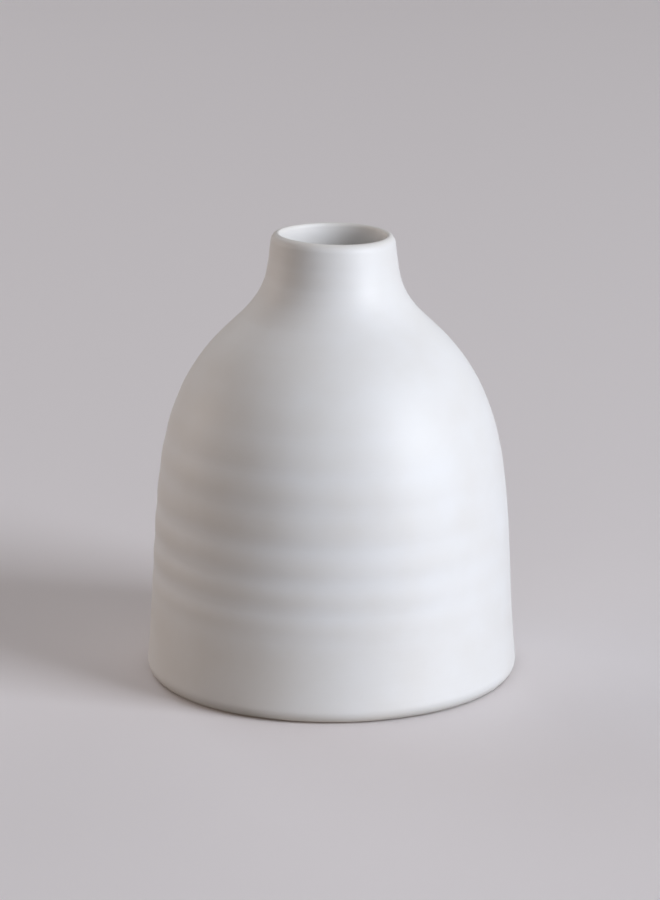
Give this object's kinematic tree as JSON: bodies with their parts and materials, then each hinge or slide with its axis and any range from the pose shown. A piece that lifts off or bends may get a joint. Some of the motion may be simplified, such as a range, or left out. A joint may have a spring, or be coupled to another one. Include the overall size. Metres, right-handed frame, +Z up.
{
  "type": "bud vase",
  "caption": "Short wheel-thrown ceramic bud vase: broad straight-sided body, domed shoulder, narrow neck with a thin rolled lip, flat foot ring.",
  "frame": {"origin": "centre of the foot ring, on the surface the vase stands on", "axes": "+Z up along the axis of revolution, from the foot to the mouth; X and Y are free, since the vase is round"},
  "size_m": [0.1058, 0.1058, 0.127],
  "materials": {
    "bare_stoneware": "unglazed fired stoneware, fine sandy tooth, wiped smooth on the foot ring",
    "satin_white_glaze": "opaque white satin-matte glaze, soft broad sheen, faint throwing rings under it",
    "liner_glaze": "opaque white glaze, a little glossier than the outside"
  },
  "bodies": {
    "root": {"stoneware_body": "bare_stoneware", "outer_glaze": "satin_white_glaze", "liner_glaze": "liner_glaze", "base_glaze": "satin_white_glaze"}
  },
  "joints": []
}
